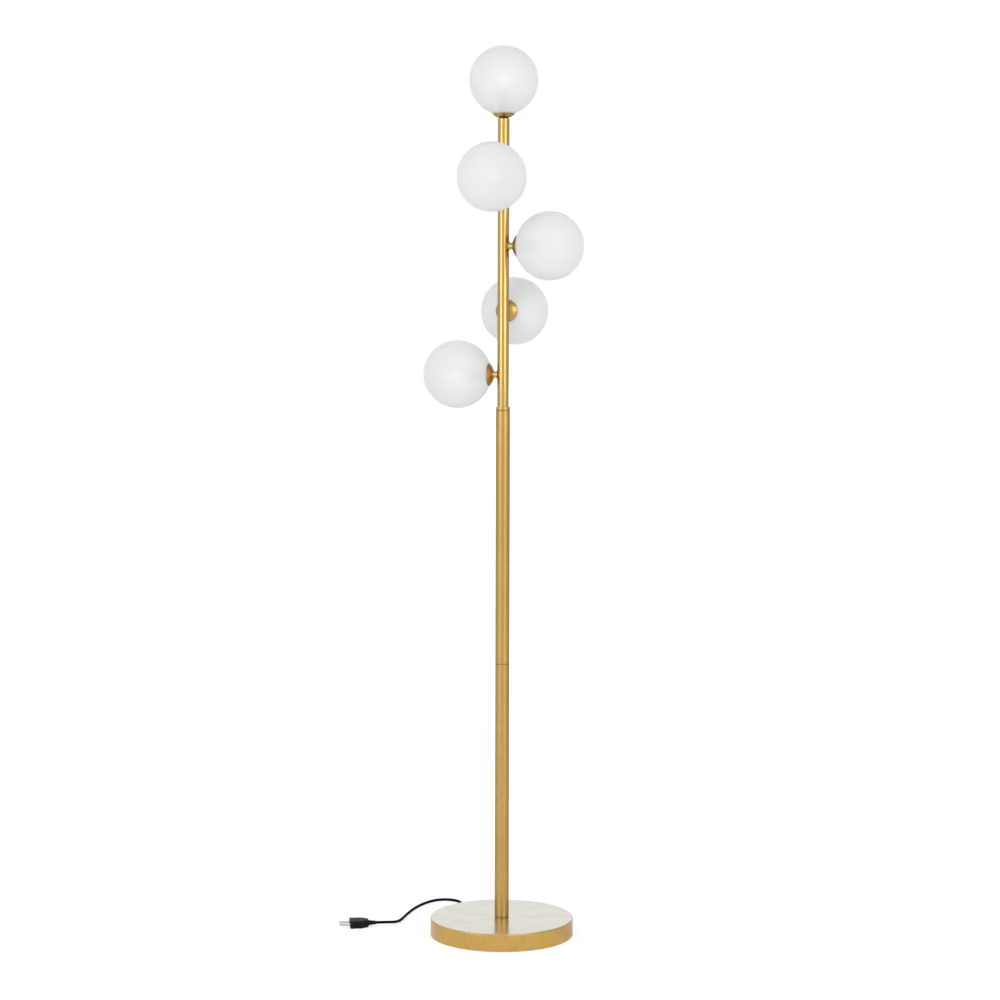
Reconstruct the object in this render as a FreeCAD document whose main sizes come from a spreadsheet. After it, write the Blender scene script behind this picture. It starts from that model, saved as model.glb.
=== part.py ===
import FreeCAD, Part
import math
import os
import re

import Sketcher

# A free-standing globe lamp: a round weighted base, a three-piece pole, four short
# arms that wind down the upper tube a quarter turn apart, and five glass globes.
# Millimetres, +Z up, origin at the middle of the base's underside. The arms lie on
# the axes: front is -Y, right is +X, rear is +Y and left is -X.

SIZES = {
    # how far a cutting or joining shape runs past the piece it meets
    "overlap": 1.0,
    # base
    "base_radius": 127.0,
    "base_height": 32.0,
    "cover_wall": 1.5,
    "cover_lift": 1.0,
    "cover_edge_round": 2.0,
    "pad_thickness": 1.5,
    "pad_gap": 2.0,
    "weight_gap": 3.5,
    "weight_thickness": 18.0,
    "weight_boss_radius": 34.0,
    "recess_radius": 26.0,
    "recess_depth": 20.5,
    "channel_width": 10.0,
    "channel_depth": 10.0,
    # clamping rod, washer and nut under the pole
    "rod_radius": 6.5,
    "rod_bore_radius": 4.5,
    "rod_clearance": 0.1,
    "rod_below_nut": 3.0,
    "thread_clearance": 0.05,
    "washer_radius": 13.0,
    "washer_thickness": 2.0,
    "nut_width": 19.0,
    "nut_thickness": 5.0,
    # pole
    "lower_tube_radius": 12.5,
    "upper_tube_radius": 10.0,
    "tube_wall": 1.2,
    "tube_press_gap": 0.05,
    "insert_length": 14.0,
    "tube_joint_height": 487.7,
    "tube_joint_gap": 1.0,
    "tube_joint_inset": 0.9,
    "collar_bottom": 935.5,
    "collar_groove_radius": 11.9,
    "collar_groove_height": 2.6,
    "collar_ring_radius": 13.0,
    "collar_ring_height": 4.2,
    "collar_bore_radius": 5.0,
    "top_plug_length": 17.0,
    "top_neck_radius": 8.0,
    "top_neck_height": 1.0,
    # arms: the lowest arm's rise is from the foot of the upper tube, and each other rise
    # is from the arm below
    "left_arm_rise": 56.7,
    "rear_arm_rise": 112.0,
    "right_arm_rise": 113.0,
    "front_arm_rise": 116.0,
    "top_globe_rise": 171.0,
    "arm_waist_radius": 5.25,
    "arm_fillet": 3.6,
    "arm_foot_radius": 9.3,
    "arm_foot_thickness": 0.25,
    "arm_flange_radius": 6.4,
    "arm_flange_thickness": 1.2,
    "wire_hole_radius": 3.5,
    # threaded pipe through arm, cup and holder
    "pipe_radius": 4.0,
    "pipe_bore_radius": 2.6,
    "pipe_start": 10.5,
    "pipe_grip": 6.5,
    # cup: a shallow dish whose back lies cup_back from the pole's axis
    "cup_back": 17.5,
    "cup_bulge": 0.8,
    "cup_curve_radius": 27.3,
    "cup_rim_radius": 20.0,
    "cup_wall": 1.0,
    "cup_hole_clearance": 0.1,
    # lamp holder
    "holder_radius": 11.0,
    "holder_foot_radius": 6.2,
    "holder_foot_height": 2.0,
    "holder_length": 41.5,
    "holder_vent_radius": 0.8,
    "chamber_radius": 8.0,
    "chamber_length": 17.0,
    # capsule bulb
    "bulb_radius": 7.0,
    "bulb_base_radius": 7.6,
    "bulb_base_length": 9.0,
    "bulb_glass_length": 25.0,
    "pin_spacing": 9.0,
    "pin_width": 2.6,
    "pin_thickness": 0.8,
    "pin_length": 14.0,
    "pin_clearance": 0.2,
    # glass globe, whose lowest point lies globe_lift from the cup's back, and its rubber seat
    "globe_radius": 60.0,
    "globe_lift": 5.5,
    "glass_wall": 2.5,
    "neck_wall": 2.7,
    "neck_clearance": 0.3,
    "neck_depth": 10.0,
    "seat_clearance": 0.35,
    "seat_outer_radius": 15.0,
    # wiring in the pole
    "riser_radius": 2.2,
    "riser_bend_radius": 8.0,
    "splice_radius": 6.0,
    "splice_length": 20.0,
    "splice_above_collar": 4.0,
    "lead_radius": 1.2,
    "lead_offset": 4.0,
    "lead_bend_radius": 4.5,
    # terminal block and cord exit
    "block_width": 20.0,
    "block_length": 12.0,
    "block_height": 9.0,
    "block_start": 10.0,
    "block_screw_radius": 2.0,
    "block_screw_depth": 3.0,
    "cord_radius": 2.5,
    "cord_exit_angle": 64.9,
    "cord_exit_height": 6.2,
    "notch_radius": 4.0,
    "relief_clearance": 0.1,
    "relief_flange_radius": 5.2,
    "relief_flange_thickness": 1.5,
    "relief_root_radius": 4.4,
    "relief_tip_radius": 3.3,
    "relief_length": 21.0,
    # put-away coil of the cord
    "coil_x": -76.7,
    "coil_y": 147.7,
    "coil_inner_radius": 19.0,
    "coil_pitch": 5.5,
    "coil_turns_per_layer": 2.5,
    "coil_layer_rise": 5.5,
    "coil_dip": 0.9,
    "coil_entry_straight": 20.0,
    "coil_exit_straight": 5.0,
    "coil_entry_heading": 215.5,
    "coil_exit_heading": 104.2,
    "tie_angle": 239.0,
    "tie_width": 7.0,
    "tie_thickness": 0.7,
    "tie_clearance": 0.3,
    # in-line switch
    "switch_length": 54.0,
    "switch_width": 22.0,
    "switch_height": 18.0,
    "switch_wall": 1.6,
    "switch_corner": 6.0,
    "switch_gland_length": 8.0,
    "switch_gland_radius": 4.8,
    "switch_gland_tip_radius": 3.3,
    "switch_post_radius": 3.2,
    "contact_length": 22.0,
    "contact_width": 12.0,
    "contact_height": 6.0,
    "button_radius": 6.5,
    "button_clearance": 0.4,
    "button_proud": 2.8,
    "button_travel": 2.2,
    "button_flange_radius": 8.0,
    "button_flange_thickness": 1.2,
    "screw_radius": 1.4,
    "screw_head_radius": 2.4,
    "screw_head_height": 1.4,
    "screw_recess": 0.4,
    "screw_shank_length": 12.0,
    "screw_spacing": 40.0,
    "screw_offset": 6.0,
    # plug
    "plug_x": -232.9,
    "plug_y": -4.9,
    "plug_heading": 202.0,
    "plug_length": 34.0,
    "plug_taper_length": 14.0,
    "plug_width": 34.0,
    "plug_rear_width": 17.0,
    "plug_thickness": 13.7,
    "plug_corner": 3.0,
    "plug_edge_round": 1.5,
    "plug_boot_length": 14.0,
    "plug_boot_root_radius": 5.0,
    "plug_boot_tip_radius": 3.3,
    "plug_pin_radius": 2.0,
    "plug_pin_length": 19.0,
    "plug_pin_spacing": 18.6,
    "plug_pin_seat": 6.0,
    "plug_pin_clearance": 0.05,
    "cord_end_run": 18.0,
    "lead_start_run": 15.9,
    "lead_end_run": 15.9,
}

# The free cord's corners as it lies on the floor, as X, Y and Z: on the way from the
# strain relief to the switch, and on the way from the coil to the plug.
LEAD_CORNERS = [
    (68.1, 164.4, 4.2),
    (58.9, 177.4, 3.4),
    (44.4, 184.1, 5.6),
]
TAIL_CORNERS = [
    (-122.5, 183.5, 2.5),
    (-132.5, 201.1, 2.5),
    (-146.2, 210.4, 2.5),
    (-162.0, 211.3, 2.5),
    (-176.3, 204.4, 2.5),
    (-186.8, 188.6, 2.5),
    (-195.9, 162.0, 2.5),
    (-201.0, 124.4, 2.5),
    (-201.4, 82.4, 2.5),
    (-200.0, 50.4, 2.5),
    (-199.7, 30.8, 3.2),
    (-204.2, 13.9, 4.8),
]

# Places worked out from the sizes, as formulas of the sheet.
COVER_UNDERSIDE = "base_height - cover_wall"
UPPER_TUBE_BOTTOM = "collar_bottom + collar_groove_height + collar_ring_height"
LEFT_ARM = UPPER_TUBE_BOTTOM + " + left_arm_rise"
REAR_ARM = LEFT_ARM + " + rear_arm_rise"
RIGHT_ARM = REAR_ARM + " + right_arm_rise"
FRONT_ARM = RIGHT_ARM + " + front_arm_rise"
GLOBE_MOUTH = "cup_back + globe_lift"
GLOBE_MIDDLE = GLOBE_MOUTH + " + globe_radius"
TOP_HEAD = FRONT_ARM + f" + top_globe_rise - ({GLOBE_MIDDLE})"
RECESS_TOP = "pad_thickness + recess_depth"
NUT_TOP = "pad_thickness + recess_depth - washer_thickness"
ROD_BOTTOM = NUT_TOP + " - nut_thickness - rod_below_nut"
ROD_HOLE = "rod_radius + rod_clearance"
LOWER_TUBE_BORE = "lower_tube_radius - tube_wall"
UPPER_TUBE_BORE = "upper_tube_radius - tube_wall"
TOP_CUP_BACK = TOP_HEAD + " + cup_back"
UPPER_TUBE_TOP = TOP_CUP_BACK + " - top_neck_height"
CUP_MIDDLE = "cup_back - cup_bulge + cup_curve_radius"
CUP_RIM = CUP_MIDDLE + " - sqrt(cup_curve_radius^2 - cup_rim_radius^2)"
HOLDER_FOOT = "cup_back + cup_wall"
HOLDER_BOTTOM = HOLDER_FOOT + " + holder_foot_height"
PIPE_END = HOLDER_BOTTOM + " + pipe_grip"
CHAMBER_END = PIPE_END + " + chamber_length"
HOLDER_END = HOLDER_BOTTOM + " + holder_length"
NECK_BORE = "holder_radius + neck_clearance"
COVER_INNER_RADIUS = "base_radius - cover_wall"
SWITCH_AXIS = "cord_radius + tie_thickness + tie_clearance + coil_layer_rise"
TIE_SHARE = "(coil_entry_heading + 90 - tie_angle) / 360"
TIE_INNER = (
    f"sqrt((coil_inner_radius + coil_pitch * {TIE_SHARE} - cord_radius)^2 - (tie_width / 2)^2)"
    " - tie_clearance"
)
TIE_OUTER = (
    f"coil_inner_radius + coil_pitch * (coil_turns_per_layer - {TIE_SHARE}) + cord_radius"
    " + tie_clearance"
)

X, Y, Z = FreeCAD.Vector(1, 0, 0), FreeCAD.Vector(0, 1, 0), FreeCAD.Vector(0, 0, 1)

# The coil changes layer in half a turn and is made of quarter turns. Edges are found to
# within a small tolerance.
LAYER_CHANGE = 0.5
STEPS_PER_TURN = 4
TOLERANCE = 0.01

# Each head: the way its axis points, and the height of its local origin on the pole.
HEADS = {
    "top": (Z, TOP_HEAD),
    "front": (-Y, FRONT_ARM),
    "right": (X, RIGHT_ARM),
    "rear": (Y, REAR_ARM),
    "left": (-X, LEFT_ARM),
}
ARMS = [name for name in HEADS if name != "top"]
ARMS_UPWARDS = ARMS[::-1]

doc = FreeCAD.newDocument("GlobeFloorLamp")
sheet = doc.addObject("Spreadsheet::Sheet", "Sizes")
for row, (alias, value) in enumerate(SIZES.items(), start=1):
    sheet.set(f"A{row}", alias)
    sheet.set(f"B{row}", str(value))
    sheet.setAlias(f"B{row}", alias)
doc.recompute()

size = {alias: float(sheet.get(alias)) for alias in SIZES}
parts = []


def bound(formula):
    """The formula with each size's name turned into a reference to the sheet."""

    def reference(word):
        return f"Sizes.{word[0]}" if word[0] in SIZES else word[0]

    return re.sub(r"[a-z_]+", reference, formula)


def bind(thing, **formulas):
    """Bind properties of a document object to formulas of the sheet."""
    for prop, formula in formulas.items():
        thing.setExpression(prop, bound(formula))
    return thing


def lift(thing, formula, axis="z"):
    """Bind one coordinate of an object's place to a formula."""
    thing.setExpression(f"Placement.Base.{axis}", bound(formula))
    return thing


def finish(thing, label):
    """Name a sub-part and put it on the list of what is written."""
    thing.Label = label
    parts.append(thing)
    return thing


def cylinder(name, radius, height, bottom="0"):
    return lift(bind(doc.addObject("Part::Cylinder", name), Radius=radius, Height=height), bottom)


def sphere(name, radius, middle):
    return lift(bind(doc.addObject("Part::Sphere", name), Radius=radius), middle)


def box(name, length, width, height, corner):
    """A box with its lowest corner at three formulas."""
    thing = bind(doc.addObject("Part::Box", name), Length=length, Width=width, Height=height)
    for axis, formula in zip("xyz", corner):
        lift(thing, formula, axis)
    return thing


def cut(name, base, tool):
    thing = doc.addObject("Part::Cut", name)
    thing.Base, thing.Tool = base, tool
    return thing


def common(name, base, tool):
    thing = doc.addObject("Part::Common", name)
    thing.Base, thing.Tool = base, tool
    return thing


def fused(name, *shapes):
    thing = doc.addObject("Part::MultiFuse", name)
    thing.Shapes = list(shapes)
    return thing


def group(name, *members):
    """Several separate solids under one name."""
    thing = doc.addObject("Part::Compound", name)
    thing.Links = list(members)
    return thing


def sketched(body, plane_role, corners):
    """A closed outline of straight sides through corners given as pairs of formulas."""
    sketch = body.newObject("Sketcher::SketchObject", body.Name + "_outline")
    plane = next(item for item in body.Origin.OriginFeatures if item.Role == plane_role)
    sketch.AttachmentSupport = [(plane, "")]
    sketch.MapMode = "FlatFace"
    count = len(corners)
    start = [FreeCAD.Vector(20 + 9 * math.cos(k), 20 + 9 * math.sin(k), 0) for k in range(count)]
    for k in range(count):
        sketch.addGeometry(Part.LineSegment(start[k], start[(k + 1) % count]), False)
    for k in range(count):
        sketch.addConstraint(Sketcher.Constraint("Coincident", k, 2, (k + 1) % count, 1))
    for k, place in enumerate(corners):
        for kind, formula, guess in zip(("DistanceX", "DistanceY"), place, start[k]):
            index = sketch.addConstraint(Sketcher.Constraint(kind, -1, 1, k, 1, guess))
            sketch.setExpression(f"Constraints[{index}]", bound(formula))
    return sketch


def turned(name, corners):
    """A body turned about its own Z axis from corners given as radius and height."""
    body = doc.addObject("PartDesign::Body", name)
    sketch = sketched(body, "XZ_Plane", corners)
    turn = body.newObject("PartDesign::Revolution", name + "_turn")
    turn.Profile = sketch
    turn.ReferenceAxis = (sketch, ["V_Axis"])
    turn.Angle = 360
    body.Tip = turn
    return body


def ring(name, outer, inner, bottom, top):
    return turned(name, [(inner, bottom), (outer, bottom), (outer, top), (inner, top)])


def extruded(name, corners, height):
    """A body padded upwards from an outline on the XY plane."""
    body = doc.addObject("PartDesign::Body", name)
    pad = body.newObject("PartDesign::Pad", name + "_pad")
    pad.Profile = sketched(body, "XY_Plane", corners)
    pad.setExpression("Length", bound(height))
    body.Tip = pad
    return body


def is_upright(edge):
    return abs(edge.tangentAt(edge.FirstParameter).z) > 1 - TOLERANCE


def is_level(edge):
    return edge.BoundBox.ZLength < TOLERANCE


def rounded(body, name, radius, wanted):
    """Round the edges of the body's tip that the test picks."""
    doc.recompute()
    base = body.Tip
    edges = [f"Edge{k}" for k, edge in enumerate(base.Shape.Edges, start=1) if wanted(edge)]
    round_off = body.newObject("PartDesign::Fillet", name)
    round_off.Base = (base, edges)
    round_off.setExpression("Radius", bound(radius))
    body.Tip = round_off
    return body


def placed(thing, head):
    """Stand a piece, drawn along +Z from the pole's axis, on one of the heads."""
    direction, height = HEADS[head]
    thing.Placement = FreeCAD.Placement(FreeCAD.Vector(), FreeCAD.Rotation(Z, direction))
    return lift(thing, height)


def at_exit(thing):
    """Turn a piece drawn along +Y towards the cord's exit."""
    thing.Placement = FreeCAD.Placement(FreeCAD.Vector(), FreeCAD.Rotation(Z, 0))
    thing.setExpression("Placement.Rotation.Angle", bound("cord_exit_angle - 90"))
    return thing


def formed(label, shape):
    """A sub-part whose shape is worked out from the sheet's sizes."""
    thing = doc.addObject("Part::Feature", label)
    thing.Shape = shape
    return finish(thing, label)


# Routes: straight runs joined by arcs that touch them.


def arc_on(start, corner, end):
    """The arc that leaves start towards corner and reaches end from corner."""
    weight = (end - start).Length / (2 * (corner - start).Length)
    middle = (start + corner * (2 * weight) + end) / (2 + 2 * weight)
    return Part.Arc(start, middle, end).toShape()


def corner_arc(before, corner, after, share=0.45):
    """Where a corner's arc starts and ends, and its radius."""
    back, on = before - corner, after - corner
    reach = share * min(back.Length, on.Length)
    half_turn = (math.pi - back.getAngle(on)) / 2
    start = corner + back.normalize() * reach
    end = corner + on.normalize() * reach
    return start, end, reach / math.tan(half_turn)


def rounded_wire(points):
    """A wire along the points with an arc at each corner, and the arcs' radii."""
    edges, radii, last = [], [], points[0]
    for before, corner, after in zip(points, points[1:], points[2:]):
        start, end, radius = corner_arc(before, corner, after)
        edges.append(Part.LineSegment(last, start).toShape())
        edges.append(arc_on(start, corner, end))
        radii.append(radius)
        last = end
    edges.append(Part.LineSegment(last, points[-1]).toShape())
    return Part.Wire(edges), radii


def tube_along(wire, radius):
    """A round solid along a wire."""
    first = wire.Edges[0]
    heading = first.tangentAt(first.FirstParameter)
    circle = Part.Circle(wire.OrderedVertexes[0].Point, heading, radius)
    profile = Part.Wire([circle.toShape()])
    shell = Part.BRepOffsetAPI.MakePipeShell(wire)
    shell.add(profile)
    shell.build()
    shell.makeSolid()
    solid = shell.shape()
    wanted = math.pi * radius**2 * wire.Length
    print(f"tube: length {wire.Length:.1f}, volume {solid.Volume:.1f} against {wanted:.1f}")
    return solid


def vectors(points):
    return [FreeCAD.Vector(*point) for point in points]


def heading(angle):
    """A level direction, as an angle from +X."""
    return FreeCAD.Rotation(Z, angle).multVec(X)


# Base


def base_cover():
    top, under = "base_height", COVER_UNDERSIDE
    shell = turned(
        "cover_shell",
        [
            (ROD_HOLE, under),
            (COVER_INNER_RADIUS, under),
            (COVER_INNER_RADIUS, "cover_lift"),
            ("base_radius", "cover_lift"),
            ("base_radius", top),
            (ROD_HOLE, top),
        ],
    )

    def is_upper_rim(edge):
        box = edge.BoundBox
        return box.ZMin > size["base_height"] - TOLERANCE and box.XMax > size["base_radius"] - TOLERANCE

    rounded(shell, "cover_round", "cover_edge_round", is_upper_rim)
    start, depth = COVER_INNER_RADIUS + " - overlap", "cover_wall + 2 * overlap"
    hole = cylinder("notch_round", "notch_radius", depth)
    hole.Placement = FreeCAD.Placement(FreeCAD.Vector(), FreeCAD.Rotation(Z, Y))
    lift(hole, "cord_exit_height")
    lift(hole, start, "y")
    slot = box(
        "notch_slot", "notch_radius * 2", depth, "cord_exit_height", ("-notch_radius", start, "0")
    )
    finish(at_exit(cut("notched_cover", shell, fused("notch", hole, slot))), "base_cover")


def base_weight():
    bottom, shoulder = "pad_thickness", "pad_thickness + weight_thickness"
    radius = COVER_INNER_RADIUS + " - weight_gap"
    casting = turned(
        "casting",
        [
            ("recess_radius", bottom),
            (radius, bottom),
            (radius, shoulder),
            ("weight_boss_radius", shoulder),
            ("weight_boss_radius", COVER_UNDERSIDE),
            (ROD_HOLE, COVER_UNDERSIDE),
            (ROD_HOLE, RECESS_TOP),
            ("recess_radius", RECESS_TOP),
        ],
    )
    channel = box(
        "channel",
        "channel_width",
        "base_radius",
        "channel_depth + pad_thickness",
        ("-channel_width / 2", "recess_radius / 2", "0"),
    )
    finish(at_exit(cut("channelled_casting", casting, channel)), "base_weight")


def base_fastening():
    pad = cylinder("pad_disc", COVER_INNER_RADIUS + " - pad_gap", "pad_thickness")
    finish(pad, "base_pad")
    rod_top = "base_height + insert_length"
    finish(ring("rod", "rod_radius", "rod_bore_radius", ROD_BOTTOM, rod_top), "base_rod")
    finish(ring("washer", "washer_radius", ROD_HOLE, NUT_TOP, RECESS_TOP), "base_washer")
    hexagon = bind(
        doc.addObject("Part::Prism", "hexagon"),
        Circumradius="nut_width / sqrt(3)",
        Height="nut_thickness",
    )
    lift(hexagon, NUT_TOP + " - nut_thickness")
    thread = cylinder("nut_thread", "rod_radius + thread_clearance", RECESS_TOP)
    finish(cut("nut", hexagon, thread), "base_nut")


def terminal_block():
    block = box(
        "block",
        "block_width",
        "block_length",
        "block_height",
        ("-block_width / 2", "block_start", "pad_thickness"),
    )
    screws = []
    for side in (-1, 1):
        screw = cylinder(
            f"block_screw_{'left' if side < 0 else 'right'}",
            "block_screw_radius",
            "block_screw_depth + overlap",
            "pad_thickness + block_height - block_screw_depth",
        )
        lift(screw, f"{side} * block_width / 4", "x")
        lift(screw, "block_start + block_length / 2", "y")
        screws.append(screw)
    finish(at_exit(cut("drilled_block", block, fused("block_screws", *screws))), "terminal_block")


def cord_exit():
    """The tapered strain relief, drawn along +Z and laid towards the exit, and the inner cord."""
    wall_out = "base_radius"
    wall_in = f"sqrt(({COVER_INNER_RADIUS})^2 - relief_flange_radius^2) - relief_clearance"
    bore, neck = "cord_radius + relief_clearance", "notch_radius - relief_clearance"
    flange = "relief_flange_thickness"
    relief = turned(
        "relief",
        [
            (bore, f"{wall_in} - {flange}"),
            ("relief_flange_radius", f"{wall_in} - {flange}"),
            ("relief_flange_radius", wall_in),
            (neck, wall_in),
            (neck, wall_out),
            ("relief_flange_radius", wall_out),
            ("relief_flange_radius", f"{wall_out} + {flange}"),
            ("relief_root_radius", f"{wall_out} + {flange}"),
            ("relief_tip_radius", f"{wall_out} + relief_length"),
            (bore, f"{wall_out} + relief_length"),
        ],
    )
    cord = cylinder(
        "inner_cord",
        "cord_radius",
        "base_radius + relief_length - block_start - block_length",
    )
    direction = heading(size["cord_exit_angle"])
    for thing, start in ((relief, "0"), (cord, "block_start + block_length")):
        thing.Placement = FreeCAD.Placement(FreeCAD.Vector(), FreeCAD.Rotation(Z, direction))
        lift(thing, "cord_exit_height")
        lift(thing, f"({start}) * cos(cord_exit_angle * 1 deg)", "x")
        lift(thing, f"({start}) * sin(cord_exit_angle * 1 deg)", "y")
    finish(relief, "cord_strain_relief")
    finish(cord, "inner_mains_cord")


# Pole


def pole():
    joint = "tube_joint_height"
    half_gap = "tube_joint_gap / 2"
    bore = LOWER_TUBE_BORE
    finish(
        ring("lower", "lower_tube_radius", bore, "base_height", f"{joint} - {half_gap}"),
        "lower_tube",
    )
    finish(
        ring("middle", "lower_tube_radius", bore, f"{joint} + {half_gap}", "collar_bottom"),
        "middle_tube",
    )
    insert_radius = bore + " - tube_press_gap"
    thread = "rod_radius + thread_clearance"
    spans = {
        "foot": ("base_height", "base_height + insert_length"),
        "below_joint": (f"{joint} - {half_gap} - insert_length", f"{joint} - {half_gap}"),
        "above_joint": (f"{joint} + {half_gap}", f"{joint} + {half_gap} + insert_length"),
    }
    inserts = [
        ring(f"insert_{name}", insert_radius, thread, bottom, top)
        for name, (bottom, top) in spans.items()
    ]
    finish(group("inserts", *inserts), "tube_inserts")
    stud = turned(
        "stud",
        [
            ("rod_bore_radius", f"{joint} - insert_length"),
            ("rod_radius", f"{joint} - insert_length"),
            ("rod_radius", f"{joint} - {half_gap}"),
            ("lower_tube_radius - tube_joint_inset", f"{joint} - {half_gap}"),
            ("lower_tube_radius - tube_joint_inset", f"{joint} + {half_gap}"),
            ("rod_radius", f"{joint} + {half_gap}"),
            ("rod_radius", f"{joint} + insert_length"),
            ("rod_bore_radius", f"{joint} + insert_length"),
        ],
    )
    finish(stud, "tube_joint_stud")
    ring_bottom = "collar_bottom + collar_groove_height"
    upper_spigot = UPPER_TUBE_BORE + " - tube_press_gap"
    collar = turned(
        "collar",
        [
            ("collar_bore_radius", "collar_bottom - insert_length"),
            (insert_radius, "collar_bottom - insert_length"),
            (insert_radius, "collar_bottom"),
            ("collar_groove_radius", "collar_bottom"),
            ("collar_groove_radius", ring_bottom),
            ("collar_ring_radius", ring_bottom),
            ("collar_ring_radius", UPPER_TUBE_BOTTOM),
            (upper_spigot, UPPER_TUBE_BOTTOM),
            (upper_spigot, UPPER_TUBE_BOTTOM + " + insert_length"),
            ("collar_bore_radius", UPPER_TUBE_BOTTOM + " + insert_length"),
        ],
    )
    finish(collar, "reducer_collar")
    tube = ring("upper", "upper_tube_radius", UPPER_TUBE_BORE, UPPER_TUBE_BOTTOM, UPPER_TUBE_TOP)
    holes = [
        placed(cylinder(f"wire_hole_{head}", "wire_hole_radius", "upper_tube_radius * 2"), head)
        for head in ARMS
    ]
    finish(cut("drilled_tube", tube, fused("wire_holes", *holes)), "upper_tube")
    pipe_seat = TOP_HEAD + " + pipe_start"
    plug = turned(
        "plug",
        [
            ("pipe_bore_radius", UPPER_TUBE_TOP + " - top_plug_length"),
            (upper_spigot, UPPER_TUBE_TOP + " - top_plug_length"),
            (upper_spigot, UPPER_TUBE_TOP),
            ("top_neck_radius", UPPER_TUBE_TOP),
            ("top_neck_radius", TOP_CUP_BACK),
            ("pipe_radius + thread_clearance", TOP_CUP_BACK),
            ("pipe_radius + thread_clearance", pipe_seat),
            ("pipe_bore_radius", pipe_seat),
        ],
    )
    finish(plug, "top_plug")


# Heads: everything below is drawn along +Z, with the pole's axis at zero.


def arm(head):
    """A waisted spool, spread where it sits on the tube, with a flange under the cup."""
    waist = cylinder(f"waist_{head}", "arm_waist_radius", "cup_back")
    saddle = bind(
        doc.addObject("Part::Cylinder", f"saddle_{head}"),
        Radius="upper_tube_radius + arm_foot_thickness",
        Height="arm_foot_radius * 4",
    )
    saddle.Placement = FreeCAD.Placement(FreeCAD.Vector(), FreeCAD.Rotation(Z, X))
    lift(saddle, "-arm_foot_radius * 2", "x")
    blank = fused(f"arm_blank_{head}", waist, saddle)
    doc.recompute()
    spread = doc.addObject("Part::Fillet", f"arm_spread_{head}")
    spread.Base = blank
    root = size["upper_tube_radius"] + size["arm_foot_thickness"] + TOLERANCE
    spread.Edges = [
        (k, size["arm_fillet"], size["arm_fillet"])
        for k, edge in enumerate(blank.Shape.Edges, start=1)
        if TOLERANCE < edge.BoundBox.ZMin and edge.BoundBox.ZMax < root and not is_upright(edge)
    ]
    foot = common(
        f"arm_foot_{head}", spread, cylinder(f"foot_limit_{head}", "arm_foot_radius", "cup_back")
    )
    flange = cylinder(
        f"arm_flange_{head}",
        "arm_flange_radius",
        "arm_flange_thickness",
        "cup_back - arm_flange_thickness",
    )
    pole_space = bind(
        doc.addObject("Part::Cylinder", f"pole_space_{head}"),
        Radius="upper_tube_radius",
        Height="arm_foot_radius * 4",
    )
    pole_space.Placement = FreeCAD.Placement(FreeCAD.Vector(), FreeCAD.Rotation(Z, X))
    lift(pole_space, "-arm_foot_radius * 2", "x")
    bore = cylinder(f"arm_bore_{head}", "pipe_radius + thread_clearance", "cup_back * 2")
    spool = cut(
        f"arm_{head}",
        fused(f"arm_solid_{head}", foot, flange),
        fused(f"arm_space_{head}", pole_space, bore),
    )
    direction, height = HEADS[head]
    turn = FreeCAD.Rotation(Z, direction)
    upright = turn.inverted().multVec(Z)
    saddle_turn = FreeCAD.Rotation(Z, math.degrees(math.atan2(upright.y, upright.x)))
    spool.Placement = FreeCAD.Placement(FreeCAD.Vector(), turn * saddle_turn)
    finish(lift(spool, height), f"{head}_arm")


def cup(head):
    outer = common(
        f"cup_outer_{head}",
        sphere(f"cup_outer_ball_{head}", "cup_curve_radius", CUP_MIDDLE),
        cylinder(f"cup_outer_slab_{head}", "cup_curve_radius", f"{CUP_RIM} - cup_back", "cup_back"),
    )
    inner = common(
        f"cup_inner_{head}",
        sphere(f"cup_inner_ball_{head}", "cup_curve_radius - cup_wall", CUP_MIDDLE),
        cylinder(f"cup_inner_slab_{head}", "cup_curve_radius", "cup_curve_radius", HOLDER_FOOT),
    )
    bore = cylinder(f"cup_bore_{head}", "pipe_radius + cup_hole_clearance", "cup_curve_radius")
    dish = cut(f"cup_dish_{head}", outer, fused(f"cup_space_{head}", inner, bore))
    finish(placed(dish, head), f"{head}_cup")


def pin_pair(head, name, clearance, length, bottom):
    """Two flat pins, or the slots that they fit in."""
    width, thickness = f"(pin_width + 2 * {clearance})", f"(pin_thickness + 2 * {clearance})"
    pair = []
    for side, word in ((-1, "low"), (1, "high")):
        middle = f"{side} * pin_spacing / 2"
        corner = (f"{middle} - {thickness} / 2", f"-{width} / 2", bottom)
        pair.append(box(f"{name}_{word}_{head}", thickness, width, length, corner))
    return pair


def lamp_holder(head):
    bore, sleeve = "pipe_radius + thread_clearance", "holder_radius"
    shell = turned(
        f"holder_shell_{head}",
        [
            (bore, HOLDER_FOOT),
            ("holder_foot_radius", HOLDER_FOOT),
            ("holder_foot_radius", HOLDER_BOTTOM),
            (sleeve, HOLDER_BOTTOM),
            (sleeve, HOLDER_END),
            ("holder_vent_radius", HOLDER_END),
            ("holder_vent_radius", CHAMBER_END),
            ("chamber_radius", CHAMBER_END),
            ("chamber_radius", PIPE_END),
            (bore, PIPE_END),
        ],
    )
    slots = pin_pair(head, "slot", "pin_clearance", f"{HOLDER_END} - ({CHAMBER_END})", CHAMBER_END)
    holder = cut(f"holder_{head}", shell, fused(f"slots_{head}", *slots))
    finish(placed(holder, head), f"{head}_lamp_holder")


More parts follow.
